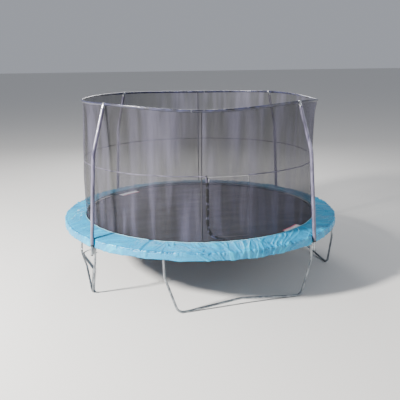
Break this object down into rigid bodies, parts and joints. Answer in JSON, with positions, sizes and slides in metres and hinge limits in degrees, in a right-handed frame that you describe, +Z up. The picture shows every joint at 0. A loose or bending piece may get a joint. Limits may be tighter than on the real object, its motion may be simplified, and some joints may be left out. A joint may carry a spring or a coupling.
{
  "type": "trampoline",
  "caption": "Large round garden trampoline on bent-tube legs, with a padded spring cover and a tall safety net hung from a ring on bent poles.",
  "frame": {"origin": "on the ground under the centre of the frame", "axes": "+Z up; the door and its zip are on the -Y side; the legs stand towards -Y, +X, +Y and -X"},
  "size_m": [4.296, 4.296, 2.6789],
  "materials": {
    "galvanised_steel": "satin hot-dip galvanised tube",
    "zinc_fastener": "bright zinc plate",
    "spring_steel": "zinc-plated wire",
    "foam_sleeve": "dark grey-violet vinyl skin on foam",
    "net_mesh": "black knitted netting",
    "mat_weave": "black woven polypropylene",
    "pad_vinyl": "turquoise coated cloth over foam"
  },
  "bodies": {
    "frame": {"rail_section_1": "galvanised_steel", "rail_section_2": "galvanised_steel", "rail_section_3": "galvanised_steel", "rail_section_4": "galvanised_steel", "rail_section_5": "galvanised_steel", "rail_section_6": "galvanised_steel", "rail_section_7": "galvanised_steel", "rail_section_8": "galvanised_steel", "leg_base_1": "galvanised_steel", "leg_post_1_left": "galvanised_steel", "leg_post_1_right": "galvanised_steel", "pole_lower_1": "galvanised_steel", "pole_upper_1": "galvanised_steel", "pole_sleeve_1": "foam_sleeve", "pole_cap_1": "zinc_fastener", "pole_spacer_1": "galvanised_steel", "pole_bolt_1_upper": "zinc_fastener", "pole_bolt_1_lower": "zinc_fastener", "top_ring_tube_1": "galvanised_steel", "leg_base_2": "galvanised_steel", "leg_post_2_left": "galvanised_steel", "leg_post_2_right": "galvanised_steel", "pole_lower_2": "galvanised_steel", "pole_upper_2": "galvanised_steel", "pole_sleeve_2": "foam_sleeve", "pole_cap_2": "zinc_fastener", "pole_spacer_2": "galvanised_steel", "pole_bolt_2_upper": "zinc_fastener", "pole_bolt_2_lower": "zinc_fastener", "top_ring_tube_2": "galvanised_steel", "leg_base_3": "galvanised_steel", "leg_post_3_left": "galvanised_steel", "leg_post_3_right": "galvanised_steel", "pole_lower_3": "galvanised_steel", "pole_upper_3": "galvanised_steel", "pole_sleeve_3": "foam_sleeve", "pole_cap_3": "zinc_fastener", "pole_spacer_3": "galvanised_steel", "pole_bolt_3_upper": "zinc_fastener", "pole_bolt_3_lower": "zinc_fastener", "top_ring_tube_3": "galvanised_steel", "leg_base_4": "galvanised_steel", "leg_post_4_left": "galvanised_steel", "leg_post_4_right": "galvanised_steel", "pole_lower_4": "galvanised_steel", "pole_upper_4": "galvanised_steel", "pole_sleeve_4": "foam_sleeve", "pole_cap_4": "zinc_fastener", "pole_spacer_4": "galvanised_steel", "pole_bolt_4_upper": "zinc_fastener", "pole_bolt_4_lower": "zinc_fastener", "top_ring_tube_4": "galvanised_steel", "net_front": "net_mesh", "net_back": "net_mesh", "springs": "spring_steel", "pad_front": "pad_vinyl", "pad_back": "pad_vinyl"},
    "mat": {"jumping_mat": "mat_weave"},
    "door": {"net_door": "net_mesh"},
    "zip_pull": {"zip_slider": "zinc_fastener"}
  },
  "joints": [
    {"name": "mat_bounce", "type": "slide", "parent": "frame", "child": "mat", "axis": [0, 0, 1], "range_m": [-0.3, 0], "stiffness_N_per_m": 4500, "springref_m": 0.08, "deforming": ["springs"]},
    {"name": "door_swing", "type": "hinge", "parent": "frame", "child": "door", "pos_m": [0.10474, -1.81097, 0.959], "axis": [0, 0, 1], "range_deg": [0, 75]},
    {"name": "zip_slide", "type": "slide", "parent": "door", "child": "zip_pull", "axis": [0, 0, 1], "range_m": [-0.7, 0]}
  ]
}
